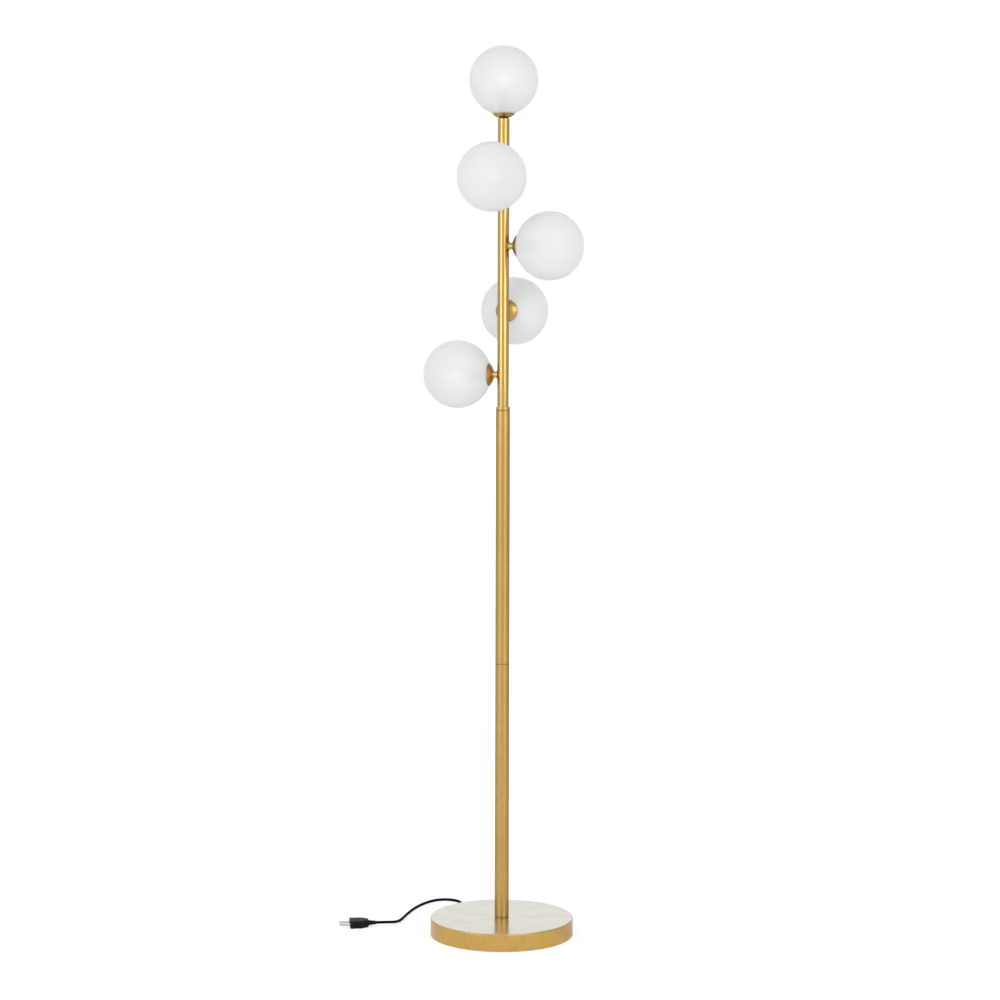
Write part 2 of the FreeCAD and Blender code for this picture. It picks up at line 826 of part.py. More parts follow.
def bulb(head):
    glass_bottom = HOLDER_END + " + bulb_base_length"
    tip_middle = glass_bottom + " + bulb_glass_length - bulb_radius"
    pieces = [
        cylinder(f"bulb_base_{head}", "bulb_base_radius", "bulb_base_length", HOLDER_END),
        cylinder(f"bulb_body_{head}", "bulb_radius", "bulb_glass_length - bulb_radius", glass_bottom),
        sphere(f"bulb_tip_{head}", "bulb_radius", tip_middle),
    ]
    pieces += pin_pair(head, "pin", "0", "pin_length + overlap", f"{HOLDER_END} - pin_length")
    finish(placed(fused(f"bulb_{head}", *pieces), head), f"{head}_bulb")


def globe(head):
    """A hollow ball whose mouth turns inwards as a neck that screws over the holder."""
    outer = sphere(f"glass_outer_{head}", "globe_radius", GLOBE_MIDDLE)
    inner = sphere(f"glass_inner_{head}", "globe_radius - glass_wall", GLOBE_MIDDLE)
    neck = common(
        f"glass_neck_{head}",
        sphere(f"neck_limit_{head}", "globe_radius", GLOBE_MIDDLE),
        cylinder(f"neck_blank_{head}", f"{NECK_BORE} + neck_wall", "neck_depth", GLOBE_MOUTH),
    )
    ball = fused(f"glass_ball_{head}", cut(f"glass_shell_{head}", outer, inner), neck)
    depth, start = "neck_depth + 2 * overlap", GLOBE_MOUTH + " - overlap"
    bore = cylinder(f"mouth_{head}", NECK_BORE, depth, start)
    finish(placed(cut(f"globe_{head}", ball, bore), head), f"{head}_globe")


def seat(head):
    """A soft ring between cup and glass, shaped to both and clear of them."""
    bore, deep = f"{NECK_BORE} + seat_clearance", "cup_curve_radius"
    blank = cut(
        f"seat_blank_{head}",
        cylinder(f"seat_outer_{head}", "seat_outer_radius", deep, HOLDER_FOOT),
        cylinder(f"seat_bore_{head}", bore, deep, HOLDER_FOOT),
    )
    on_cup = common(
        f"seat_on_cup_{head}",
        blank,
        sphere(f"seat_cup_{head}", "cup_curve_radius - cup_wall - seat_clearance", CUP_MIDDLE),
    )
    under_glass = cut(
        f"seat_under_glass_{head}",
        on_cup,
        sphere(f"seat_glass_{head}", "globe_radius + seat_clearance", GLOBE_MIDDLE),
    )
    finish(placed(under_glass, head), f"{head}_seat")


def arm_pipes():
    pipes = [
        placed(ring(f"pipe_{head}", "pipe_radius", "pipe_bore_radius", "pipe_start", PIPE_END), head)
        for head in HEADS
    ]
    finish(group("pipes", *pipes), "arm_pipes")


# Wiring


def wiring():
    s = size
    collar_top = s["collar_bottom"] + s["collar_groove_height"] + s["collar_ring_height"]
    splice_bottom = collar_top + s["insert_length"] + s["splice_above_collar"]
    splice_top = splice_bottom + s["splice_length"]
    splice = cylinder(
        "splice",
        "splice_radius",
        "splice_length",
        UPPER_TUBE_BOTTOM + " + insert_length + splice_above_collar",
    )
    finish(splice, "wire_splice")

    outward = heading(s["cord_exit_angle"])
    bend, level = s["riser_bend_radius"], s["pad_thickness"] + s["block_height"] / 2
    start = outward * s["block_start"] + Z * level
    low, corner, high = outward * bend + Z * level, Z * level, Z * (level + bend)
    edges = [
        Part.LineSegment(start, low).toShape(),
        arc_on(low, corner, high),
        Part.LineSegment(high, Z * splice_bottom).toShape(),
    ]
    formed("riser_cable", tube_along(Part.Wire(edges), s["riser_radius"]))

    holder_bottom = s["cup_back"] + s["cup_wall"] + s["holder_foot_height"]
    lead_end = holder_bottom + s["pipe_grip"] + s["chamber_length"]
    height = collar_top
    leads = []
    for head in ARMS_UPWARDS:
        height += s[f"{head}_arm_rise"]
        way, turn = HEADS[head][0], s["lead_bend_radius"]
        foot = way * s["lead_offset"]
        low, corner = foot + Z * (height - turn), foot + Z * height
        high, end = corner + way * turn, way * lead_end + Z * height
        edges = [
            Part.LineSegment(foot + Z * splice_top, low).toShape(),
            arc_on(low, corner, high),
            Part.LineSegment(high, end).toShape(),
        ]
        leads.append(tube_along(Part.Wire(edges), s["lead_radius"]))
    globe_middle = s["cup_back"] + s["globe_lift"] + s["globe_radius"]
    top_end = height + s["top_globe_rise"] - globe_middle + lead_end
    straight = Part.Wire([Part.LineSegment(Z * splice_top, Z * top_end).toShape()])
    leads.append(tube_along(straight, s["lead_radius"]))
    formed("lamp_leads", Part.Compound(leads))


# Free cord


def biarc(start, start_way, end, end_way):
    """Two arcs that join two points with the given headings."""
    span, ways = end - start, start_way + end_way
    a = 2 * (1 - start_way.dot(end_way))
    b = 2 * span.dot(ways)
    reach = (math.sqrt(b * b + 4 * a * span.dot(span)) - b) / (2 * a)
    leave, arrive = start + start_way * reach, end - end_way * reach
    joint = (leave + arrive) / 2
    return [arc_on(start, leave, joint), arc_on(joint, arrive, end)]


def coil_point(turn):
    """The coil's centreline at a number of turns from its start: its radius and height.

    The cord comes in at the outside of the upper layer, winds in, drops a layer in
    the half turn where it reverses, and winds out again on the floor.
    """
    s = size
    inward = s["coil_turns_per_layer"] - turn
    outward = -inward - LAYER_CHANGE
    radius = s["coil_inner_radius"] + s["coil_pitch"] * max(inward, outward, 0.0)
    dropped = 0.0 if inward >= 0 else 1.0
    if inward < 0 and outward < 0:
        share = -inward / LAYER_CHANGE
        radius -= s["coil_dip"] * math.sin(math.pi * share)
        dropped = (1 - math.cos(math.pi * share)) / 2
    lift_off = s["tie_thickness"] + s["tie_clearance"]
    height = s["cord_radius"] + lift_off + s["coil_layer_rise"] * (1 - dropped)
    return radius, height


def coil_wire():
    """Quarter turns of two arcs each, clockwise seen from above, with straight ends."""
    s = size
    middle = FreeCAD.Vector(s["coil_x"], s["coil_y"], 0)
    first_angle = s["coil_entry_heading"] + 90
    swing = (s["coil_entry_heading"] - s["coil_exit_heading"]) % 360 / 360
    whole = 2 * s["coil_turns_per_layer"] + LAYER_CHANGE
    total = math.floor(whole - swing) + swing

    def at(turn):
        radius, height = coil_point(turn)
        return middle + heading(first_angle - 360 * turn) * radius + Z * height

    steps = round(total * STEPS_PER_TURN)
    knots = [total * k / steps for k in range(steps + 1)]
    places = [at(knot) for knot in knots]
    ways = [(at(knot + TOLERANCE) - at(knot - TOLERANCE)).normalize() for knot in knots]
    for k, end in ((0, "entry"), (-1, "exit")):
        ways[k] = heading(s[f"coil_{end}_heading"])
    begin = places[0] - ways[0] * s["coil_entry_straight"]
    finish_at = places[-1] + ways[-1] * s["coil_exit_straight"]
    edges = [Part.LineSegment(begin, places[0]).toShape()]
    for k in range(steps):
        edges += biarc(places[k], ways[k], places[k + 1], ways[k + 1])
    edges.append(Part.LineSegment(places[-1], finish_at).toShape())
    return Part.Wire(edges)


def least_gap(wire, diameter, step=1.0):
    """The smallest gap between the turns of a tube, measured on points along it."""
    points = wire.discretize(Distance=step)
    apart = round(2 * diameter / step)
    nearest = min(
        (points[i] - points[j]).Length
        for i in range(len(points))
        for j in range(i + apart, len(points))
    )
    return nearest - diameter


def free_cord():
    """The coil, the lead that comes to the switch beside it, and the tail to the plug."""
    s = size
    radius = s["cord_radius"]
    coil = coil_wire()
    first, last = coil.OrderedVertexes[0].Point, coil.OrderedVertexes[-1].Point
    print(f"cord_coil: from {first} to {last}, length {coil.Length:.1f}")
    print(f"cord_coil: least gap to itself {least_gap(coil, 2 * radius):.2f}")
    formed("cord_coil", tube_along(coil, radius))

    switch_way = heading(s["coil_entry_heading"])
    middle = first - switch_way * (s["switch_length"] / 2 + s["switch_gland_length"])
    gland = middle * 2 - first
    exit_way = heading(s["cord_exit_angle"])
    tip = exit_way * (s["base_radius"] + s["relief_length"]) + Z * s["cord_exit_height"]
    lead = [tip, tip + exit_way * s["lead_start_run"]] + vectors(LEAD_CORNERS)
    lead += [gland - switch_way * s["lead_end_run"], gland]
    coil_way, plug_way = heading(s["coil_exit_heading"]), heading(s["plug_heading"])
    plug_end = FreeCAD.Vector(s["plug_x"], s["plug_y"], s["plug_thickness"] / 2)
    tail = [last, last + coil_way * s["cord_end_run"]] + vectors(TAIL_CORNERS)
    tail += [plug_end - plug_way * s["cord_end_run"], plug_end]
    for label, route in (("cord_lead", lead), ("cord_tail", tail)):
        wire, radii = rounded_wire(route)
        print(f"{label}: points {[tuple(round(value, 2) for value in point) for point in route]}")
        print(f"{label}: arc radii {[round(value, 1) for value in radii]}")
        formed(label, tube_along(wire, radius))
    return middle


def coil_tie():
    """A flat strap round both layers of the coil."""
    reach = f"{TIE_OUTER} - ({TIE_INNER})"
    opening_height = "2 * cord_radius + coil_layer_rise + 2 * tie_clearance"
    strap = box(
        "strap",
        f"{reach} + 2 * tie_thickness",
        "tie_width",
        f"{opening_height} + 2 * tie_thickness",
        (f"{TIE_INNER} - tie_thickness", "-tie_width / 2", "0"),
    )
    opening = box(
        "strap_opening",
        reach,
        "tie_width",
        opening_height,
        (TIE_INNER, "-tie_width / 2", "tie_thickness"),
    )
    tie = cut("tie", strap, opening)
    tie.Placement = FreeCAD.Placement(FreeCAD.Vector(), FreeCAD.Rotation(Z, 0))
    tie.setExpression("Placement.Rotation.Angle", bound("tie_angle"))
    lift(tie, "coil_x", "x")
    finish(lift(tie, "coil_y", "y"), "coil_tie")


# Switch: drawn lying along X about its middle, on the floor.


def rounded_block(name, length, width, height, corner):
    """A block with rounded upright edges, centred on the origin."""
    half_length, half_width = f"({length}) / 2", f"({width}) / 2"
    body = extruded(
        name,
        [
            (f"-{half_length}", f"-{half_width}"),
            (half_length, f"-{half_width}"),
            (half_length, half_width),
            (f"-{half_length}", half_width),
        ],
        height,
    )
    return rounded(body, name + "_corners", corner, is_upright)


def switch_gland(name, side):
    cone = bind(
        doc.addObject("Part::Cone", name),
        Radius1="switch_gland_radius",
        Radius2="switch_gland_tip_radius",
        Height="switch_gland_length",
    )
    cone.Placement = FreeCAD.Placement(FreeCAD.Vector(), FreeCAD.Rotation(Z, X * side))
    lift(cone, f"{side} * switch_length / 2", "x")
    return lift(cone, SWITCH_AXIS)


def screw_places():
    return [(side, f"{side} * screw_spacing / 2", f"{side} * screw_offset") for side in (-1, 1)]


def switch(middle, turn):
    def on_floor(thing, label):
        place = FreeCAD.Vector(middle.x, middle.y, 0)
        thing.Placement = FreeCAD.Placement(place, FreeCAD.Rotation(Z, turn))
        finish(thing, label)

    wall, height = "switch_wall", "switch_height"
    hollow = rounded_block(
        "switch_hollow",
        "switch_length - 2 * switch_wall",
        "switch_width - 2 * switch_wall",
        "switch_height - 2 * switch_wall",
        "switch_corner - switch_wall",
    )
    lift(hollow, wall)
    shell = cut(
        "switch_case",
        rounded_block("switch_block", "switch_length", "switch_width", height, "switch_corner"),
        hollow,
    )
    posts, holes, screws = [], [], []
    for side, x, y in screw_places():
        word = "left" if side < 0 else "right"
        head_top, shank = "screw_recess + screw_head_height", "screw_shank_length"
        hole_radius = "screw_radius + thread_clearance"
        sink_radius = "screw_head_radius + thread_clearance"
        post = cylinder(f"switch_post_{word}", "switch_post_radius", height)
        hole = cylinder(f"screw_hole_{word}", hole_radius, shank, head_top)
        sink = cylinder(f"screw_sink_{word}", sink_radius, head_top)
        head = cylinder(f"screw_head_{word}", "screw_head_radius", "screw_head_height", "screw_recess")
        stem = cylinder(f"screw_stem_{word}", "screw_radius", shank, head_top)
        for thing in (post, hole, sink, head, stem):
            lift(lift(thing, x, "x"), y, "y")
        posts.append(post)
        holes += [hole, sink]
        screws.append(fused(f"screw_{word}", head, stem))
    glands = [switch_gland("gland_entry", -1), switch_gland("gland_exit", 1)]
    solid = cut(
        "switch_solid",
        fused("switch_with_posts", shell, *posts, *glands),
        fused("switch_screw_holes", *holes),
    )
    reach, width = "switch_length + 2 * switch_gland_length", "switch_width"
    x_start, y_start = f"-({reach}) / 2", f"-{width} / 2"
    lower = box("switch_lower_half", reach, width, SWITCH_AXIS, (x_start, y_start, "0"))
    on_floor(common("switch_tray", solid, lower), "switch_base")
    upper = box("switch_upper_half", reach, width, height, (x_start, y_start, SWITCH_AXIS))
    opening = cylinder("button_opening", "button_radius + button_clearance", height, SWITCH_AXIS)
    on_floor(cut("switch_lid", common("switch_top", solid, upper), opening), "switch_cover")
    flange_top = "switch_height - switch_wall"
    button = turned(
        "button",
        [
            ("0", f"{flange_top} - button_flange_thickness"),
            ("button_flange_radius", f"{flange_top} - button_flange_thickness"),
            ("button_flange_radius", flange_top),
            ("button_radius", flange_top),
            ("button_radius", "switch_height + button_proud"),
            ("0", "switch_height + button_proud"),
        ],
    )
    on_floor(button, "switch_button")
    on_floor(group("screws", *screws), "switch_screws")
    contacts = box(
        "contacts",
        "contact_length",
        "contact_width",
        "contact_height",
        ("-contact_length / 2", "-contact_width / 2", wall),
    )
    on_floor(group("contact_block", contacts), "switch_contacts")


# Plug: drawn along X from the boot's tip, flat on the floor.


def plug():
    def laid(thing, label):
        thing.Placement = FreeCAD.Placement(FreeCAD.Vector(), FreeCAD.Rotation(Z, 0))
        thing.setExpression("Placement.Rotation.Angle", bound("plug_heading"))
        lift(lift(thing, "plug_x", "x"), "plug_y", "y")
        finish(thing, label)

    rear, shoulder = "plug_boot_length", "plug_boot_length + plug_taper_length"
    front = "plug_boot_length + plug_length"
    half_rear, half_front = "plug_rear_width / 2", "plug_width / 2"
    body = extruded(
        "plug_block",
        [
            (rear, f"-{half_rear}"),
            (shoulder, f"-{half_front}"),
            (front, f"-{half_front}"),
            (front, half_front),
            (shoulder, half_front),
            (rear, half_rear),
        ],
        "plug_thickness",
    )
    rounded(body, "plug_corners", "plug_corner", is_upright)
    rounded(body, "plug_edges", "plug_edge_round", is_level)
    boot = bind(
        doc.addObject("Part::Cone", "plug_boot"),
        Radius1="plug_boot_tip_radius",
        Radius2="plug_boot_root_radius",
        Height="plug_boot_length + plug_edge_round",
    )
    boot.Placement = FreeCAD.Placement(FreeCAD.Vector(), FreeCAD.Rotation(Z, X))
    lift(boot, "plug_thickness / 2")
    pins, seats = [], []
    for side, word in ((-1, "left"), (1, "right")):
        for name, radius, length, kept in (
            ("pin", "plug_pin_radius", "plug_pin_length + plug_pin_seat", pins),
            ("pin_seat", "plug_pin_radius + plug_pin_clearance", "plug_pin_length", seats),
        ):
            thing = cylinder(f"plug_{name}_{word}", radius, length)
            thing.Placement = FreeCAD.Placement(FreeCAD.Vector(), FreeCAD.Rotation(Z, X))
            lift(thing, f"{front} - plug_pin_seat", "x")
            lift(thing, f"{side} * plug_pin_spacing / 2", "y")
            lift(thing, "plug_thickness / 2")
            kept.append(thing)
    moulding = cut("plug_moulding", fused("plug_with_boot", body, boot), fused("plug_seats", *seats))
    laid(moulding, "plug_body")
    laid(group("pins", *pins), "plug_pins")


base_cover()
base_weight()
base_fastening()
terminal_block()
cord_exit()
pole()
for head in ARMS:
    arm(head)
arm_pipes()
for head in HEADS:
    cup(head)
    lamp_holder(head)
    bulb(head)
    seat(head)
    globe(head)
wiring()
switch(free_cord(), size["coil_entry_heading"])
coil_tie()
plug()

doc.recompute()
for thing in doc.Objects:
    if "Invalid" in thing.State or "Error" in thing.State:
        raise RuntimeError(f"{thing.Name} did not build: {thing.State}")
for thing in parts:
    if thing.Shape.isNull() or not thing.Shape.isValid():
        raise RuntimeError(f"{thing.Label} has no valid shape")
    print(f"{thing.Label}: {len(thing.Shape.Solids)} solids, {thing.Shape.Volume:.0f} mm3")

os.makedirs("parts", exist_ok=True)
for thing in parts:
    thing.Shape.exportStep(os.path.join("parts", thing.Label + ".step"))
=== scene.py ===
import math

import bmesh
import bpy
from mathutils import Matrix, Vector


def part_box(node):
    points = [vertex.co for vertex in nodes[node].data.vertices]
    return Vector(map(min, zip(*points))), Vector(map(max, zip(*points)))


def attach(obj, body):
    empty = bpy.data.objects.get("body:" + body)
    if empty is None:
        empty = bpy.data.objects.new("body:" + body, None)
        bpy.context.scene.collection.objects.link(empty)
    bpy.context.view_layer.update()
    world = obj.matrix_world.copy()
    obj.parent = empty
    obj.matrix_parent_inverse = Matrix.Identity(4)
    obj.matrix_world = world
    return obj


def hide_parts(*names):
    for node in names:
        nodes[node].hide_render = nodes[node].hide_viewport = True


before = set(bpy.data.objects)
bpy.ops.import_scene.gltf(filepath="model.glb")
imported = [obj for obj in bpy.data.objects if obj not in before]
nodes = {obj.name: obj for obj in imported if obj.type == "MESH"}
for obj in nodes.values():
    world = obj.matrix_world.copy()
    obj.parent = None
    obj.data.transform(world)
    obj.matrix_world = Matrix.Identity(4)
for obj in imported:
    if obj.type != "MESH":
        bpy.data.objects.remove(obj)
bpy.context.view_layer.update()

HEADS = ("top", "front", "right", "rear", "left")
ARMS = HEADS[1:]


# Materials


def add_node(tree, kind, values=None, **settings):
    made = tree.nodes.new(kind)
    for key, value in settings.items():
        setattr(made, key, value)
    for key, value in (values or {}).items():
        made.inputs[key].default_value = value
    return made


class Shader:
    """A material with a Principled shader and short calls to build what feeds it."""

    def __init__(self, name, **values):
        self.material = bpy.data.materials.new(name)
        self.material.use_nodes = True
        self.tree = self.material.node_tree
        self.main = self.tree.nodes["Principled BSDF"]
        for socket, value in values.items():
            self.main.inputs[socket.replace("_", " ")].default_value = value

    def node(self, kind, values=None, **settings):
        return add_node(self.tree, kind, values, **settings)

    def link(self, source, target):
        self.tree.links.new(source, target)

    def place(self):
        """Where a point lies on the piece, as a vector."""
        return self.node("ShaderNodeTexCoord").outputs["Object"]

    def height(self):
        split = self.node("ShaderNodeSeparateXYZ")
        self.link(self.place(), split.inputs["Vector"])
        return split.outputs["Z"]

    def noise(self, scale, detail=4.0, stretch=(1, 1, 1)):
        """Noise with features of about 1/scale metres, drawn out where stretch is small."""
        mapping = self.node("ShaderNodeMapping", {"Scale": stretch})
        made = self.node("ShaderNodeTexNoise", {"Scale": scale, "Detail": detail})
        self.link(self.place(), mapping.inputs["Vector"])
        self.link(mapping.outputs["Vector"], made.inputs["Vector"])
        return made.outputs["Fac"]

    def ramp(self, source, low, high, start=0.3, end=0.7):
        values = {"From Min": start, "From Max": end, "To Min": low, "To Max": high}
        made = self.node("ShaderNodeMapRange", values)
        self.link(source, made.inputs["Value"])
        return made.outputs["Result"]

    def mixed(self, kind, factor, first, second):
        """A mix of two colours or numbers, each a fixed value or an output."""
        made = self.node("ShaderNodeMix", data_type=kind)
        sockets = {item.name: item for item in made.inputs if item.enabled}
        self.link(factor, sockets["Factor"])
        for name, value in (("A", first), ("B", second)):
            socket = sockets[name]
            if isinstance(value, bpy.types.NodeSocket):
                self.link(value, socket)
            else:
                socket.default_value = (*value, 1) if kind == "RGBA" else value
        return next(socket for socket in made.outputs if socket.enabled)

    def colour(self, source):
        self.link(source, self.main.inputs["Base Color"])

    def roughness(self, source):
        self.link(source, self.main.inputs["Roughness"])

    def bump(self, source, distance, strength=1.0):
        made = self.node("ShaderNodeBump", {"Strength": strength, "Distance": distance})
        self.link(source, made.inputs["Height"])
        previous = self.main.inputs["Normal"].links
        if previous:
            self.link(previous[0].from_socket, made.inputs["Normal"])
        self.link(made.outputs["Normal"], self.main.inputs["Normal"])


# Ways that a grain runs: small along an axis where the noise is drawn out
UPWARDS = (1.0, 1.0, 0.03)
AROUND = (0.05, 0.05, 1.0)
EVERY_WAY = (1.0, 1.0, 1.0)
MOTTLED = (1.0, 1.0, 0.35)
TOP_CLOUDS = (1.0, 2.5, 1.0)
TOP_GRAIN = (0.06, 1.0, 1.0)

GOLD, GOLD_SHADE = (0.61, 0.395, 0.120), (0.56, 0.345, 0.095)
BRIGHT_GOLD = (0.62, 0.41, 0.145)
CUP_GOLD, CUP_GOLD_SHADE = (0.55, 0.365, 0.12), (0.49, 0.31, 0.09)
# A dark copy of the gold: painted shade at the joins between the tubes and under the top cup
PAINTED_SHADE_GOLD, PAINTED_SHADE_GOLD_DARKER = (0.26, 0.16, 0.05), (0.18, 0.11, 0.035)
COVER_GOLD, COVER_GOLD_SHADE = (0.68, 0.425, 0.112), (0.63, 0.385, 0.095)
# The base's top: a painted reflection of the white studio, in two brushed tones
TOP_PAINTED_REFLECTION, TOP_PAINTED_REFLECTION_DIM = (0.68, 0.65, 0.57), (0.58, 0.545, 0.46)
GOLD_STAIN = (0.46, 0.275, 0.075)
# Painted contact shadow for the pole's foot, where it stands on the base
GOLD_PAINTED_FOOT_SHADOW = (0.32, 0.20, 0.065)
# Painted shade for the recess below the collar's ring
GOLD_PAINTED_GROOVE_SHADE = (0.34, 0.215, 0.075)
GOLD_GRAZED = (0.42, 0.36, 0.30, 1.0)
LACQUER, COVER_LACQUER = 0.4, 0.5

# How tall the collar's recess is, and how far its painted shade fades
COLLAR_GROOVE_HEIGHT, COLLAR_SHADE_FADE = 0.0026, 0.0002
COLLAR_RING_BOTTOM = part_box("middle_tube")[1][2] + COLLAR_GROOVE_HEIGHT
# The lower tube's foot, and how far up its painted contact shadow fades
TUBE_FOOT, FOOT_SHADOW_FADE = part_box("lower_tube")[0][2], 0.005
TOP_FACE_STARTS, TOP_FACE_ENDS = 0.0313, 0.0319


def antique(shader, tint, shade):
    """Slow changes of tone from tint to shade, with a finely mottled brown patina over them."""
    tone = shader.mixed("RGBA", shader.ramp(shader.noise(9.0, detail=2.0), 0, 1), shade, tint)
    spots = shader.noise(160.0, detail=6.0, stretch=MOTTLED)
    return shader.mixed("RGBA", shader.ramp(spots, 0, 0.45, start=0.48, end=0.78), tone, GOLD_STAIN)


def gold(name, tint, shade, low, high, grain, foot=None):
    """Lacquered antique brass with brush lines along its grain, and a painted contact shadow just
    above a foot.
    """
    shader = Shader(
        name,
        Metallic=1.0,
        Specular_Tint=GOLD_GRAZED,
        Coat_Weight=LACQUER,
        Coat_Roughness=0.10,
    )
    tone = antique(shader, tint, shade)
    # Painted contact shadow: the tube is darkened just above its foot
    if foot is not None:
        foot_shadow = shader.ramp(shader.height(), 1, 0, start=foot, end=foot + FOOT_SHADOW_FADE)
        tone = shader.mixed("RGBA", foot_shadow, tone, GOLD_PAINTED_FOOT_SHADOW)
    shader.colour(tone)
    lines = shader.noise(900.0, detail=3.0, stretch=grain)
    shader.roughness(shader.ramp(lines, low, high))
    shader.bump(lines, 0.000010, 0.5)
    return shader.material


def collar_gold():
    """The turned finish, with painted shade in the dark recess below the collar's ring."""
    shader = Shader("collar_gold", Metallic=1.0, Specular_Tint=GOLD_GRAZED, Coat_Weight=LACQUER)
    ring_starts = COLLAR_RING_BOTTOM + COLLAR_SHADE_FADE
    # Painted shade: the collar is darkened just below its ring, where its recess lies in shade
    groove_shade = shader.ramp(shader.height(), 0, 1, start=ring_starts, end=COLLAR_RING_BOTTOM)
    clean = antique(shader, BRIGHT_GOLD, GOLD)
    shader.colour(shader.mixed("RGBA", groove_shade, clean, GOLD_PAINTED_GROOVE_SHADE))
    lines = shader.noise(900.0, detail=3.0, stretch=AROUND)
    shader.roughness(shader.ramp(lines, 0.15, 0.24))
    return shader.material


def cover_gold():
    """Antique brass on the side, and on the top a pale painted reflection of the white studio with
    brushed clouds, parted at the round edge.
    """
    shader = Shader(
        "base_cover_metal",
        Metallic=1.0,
        Coat_Weight=COVER_LACQUER,
        Coat_Roughness=0.16,
        Coat_IOR=1.5,
    )
    # The top's pale colour is a painted reflection of the white studio, not the brass's own colour
    top = shader.ramp(shader.height(), 0, 1, start=TOP_FACE_STARTS, end=TOP_FACE_ENDS)
    side_colour = antique(shader, COVER_GOLD, COVER_GOLD_SHADE)
    clouds = shader.ramp(shader.noise(22.0, detail=5.0, stretch=TOP_CLOUDS), 0, 1)
    top_painted_reflection = shader.mixed("RGBA", clouds, TOP_PAINTED_REFLECTION_DIM, TOP_PAINTED_REFLECTION)
    shader.colour(shader.mixed("RGBA", top, side_colour, top_painted_reflection))
    side_lines = shader.noise(700.0, detail=3.0, stretch=AROUND)
    top_lines = shader.noise(420.0, detail=4.0, stretch=TOP_GRAIN)
    side_roughness = shader.ramp(side_lines, 0.24, 0.34)
    top_roughness = shader.ramp(top_lines, 0.17, 0.25)
    shader.roughness(shader.mixed("FLOAT", top, side_roughness, top_roughness))
    shader.bump(side_lines, 0.000008, 0.4)
    return shader.material


def plastic(name, tint, roughness, grain=900.0, depth=0.00002, **values):
    """A moulded or cast surface: a little cloudy, unevenly smooth and finely grained."""
    shader = Shader(name, **values)
    lighter = tuple(min(1.0, value * 1.25 + 0.001) for value in tint)
    shader.colour(shader.mixed("RGBA", shader.ramp(shader.noise(25.0), 0, 1), tint, lighter))
    shader.roughness(shader.ramp(shader.noise(180.0), roughness - 0.06, roughness + 0.06))
    shader.bump(shader.noise(grain, detail=3.0), depth, 0.6)
    return shader.material


def metal(name, tint, roughness, grain=EVERY_WAY):
    """A plain plated metal with fine lines along its grain."""
    shader = Shader(name, Metallic=1.0)
    darker = tuple(value * 0.8 for value in tint)
    shader.colour(shader.mixed("RGBA", shader.ramp(shader.noise(40.0), 0, 1), darker, tint))
    smears = shader.noise(300.0, detail=3.0, stretch=grain)
    shader.roughness(shader.ramp(smears, roughness - 0.08, roughness + 0.08))
    shader.bump(shader.noise(500.0, detail=3.0, stretch=grain), 0.00001, 0.5)
    return shader.material


OPAL, OPAL_PALE = (0.925, 0.935, 0.95), (0.945, 0.948, 0.955)
# A faint painted glow that the whole globe gives off, besides its bulb's light
OPAL_PAINTED_GLOW, OPAL_PAINTED_GLOW_STRENGTH = (0.98, 0.99, 1.0, 1.0), 0.056
CAPSULE, CAPSULE_PALE = (0.92, 0.83, 0.72), (0.95, 0.88, 0.78)
LAMP_LIGHT, LAMP_LIGHT_PALE = (1.0, 0.50, 0.26), (1.0, 0.58, 0.34)
# How strongly each bulb shows through its globe, and where its glow starts and ends to fade
GLOW = {"top": 2.3, "front": 2.9, "right": 0.4, "rear": 1.8, "left": 1.5}
GLOW_CORE, GLOW_EDGE = 0.003, 0.013


def opal_glass():
    """Etched opal glass: milky, lit from within by its bulb and by a faint painted glow over the whole
    shell, with a satin skin that blurs the bulb.
    """
    shader = Shader(
        "opal_glass",
        Transmission_Weight=0.42,
        IOR=1.18,
        Specular_IOR_Level=0.25,
        # Painted glow: the glass itself gives off a faint light
        Emission_Color=OPAL_PAINTED_GLOW,
        Emission_Strength=OPAL_PAINTED_GLOW_STRENGTH,
    )
    frost = shader.ramp(shader.noise(14.0), 0, 1)
    shader.colour(shader.mixed("RGBA", frost, OPAL, OPAL_PALE))
    shader.roughness(shader.ramp(shader.noise(120.0), 0.29, 0.37))
    shader.bump(shader.noise(700.0, detail=2.0), 0.00001, 0.3)
    return shader.material


def lit_bulb(head):
    """Frosted capsule glass with a warm glow round its filament, at the globe's middle."""
    shader = Shader(head + "_lit_bulb", Roughness=0.4)
    frost = shader.ramp(shader.noise(90.0), 0, 1)
    shader.colour(shader.mixed("RGBA", frost, CAPSULE, CAPSULE_PALE))
    low, high = (Vector(corner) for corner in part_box(head + "_globe"))
    away = shader.node("ShaderNodeVectorMath", {1: (low + high) / 2}, operation="DISTANCE")
    shader.link(shader.place(), away.inputs[0])
    glow = shader.ramp(away.outputs["Value"], GLOW[head], 0.0, start=GLOW_CORE, end=GLOW_EDGE)
    shader.link(glow, shader.main.inputs["Emission Strength"])
    unevenness = shader.ramp(shader.noise(60.0), 0, 1)
    warm = shader.mixed("RGBA", unevenness, LAMP_LIGHT, LAMP_LIGHT_PALE)
    shader.link(warm, shader.main.inputs["Emission Color"])
    return shader.material


satin_gold = gold("satin_gold", GOLD, GOLD_SHADE, 0.22, 0.32, UPWARDS)
# The lower tube, with a painted contact shadow at its foot
foot_shadowed_gold = gold("foot_shadowed_gold", GOLD, GOLD_SHADE, 0.22, 0.32, UPWARDS, foot=TUBE_FOOT)
polished_gold = gold("polished_gold", BRIGHT_GOLD, GOLD, 0.12, 0.17, UPWARDS)
turned_gold = gold("turned_gold", BRIGHT_GOLD, GOLD, 0.15, 0.22, EVERY_WAY)
cup_gold = gold("cup_gold", CUP_GOLD, CUP_GOLD_SHADE, 0.24, 0.32, EVERY_WAY)
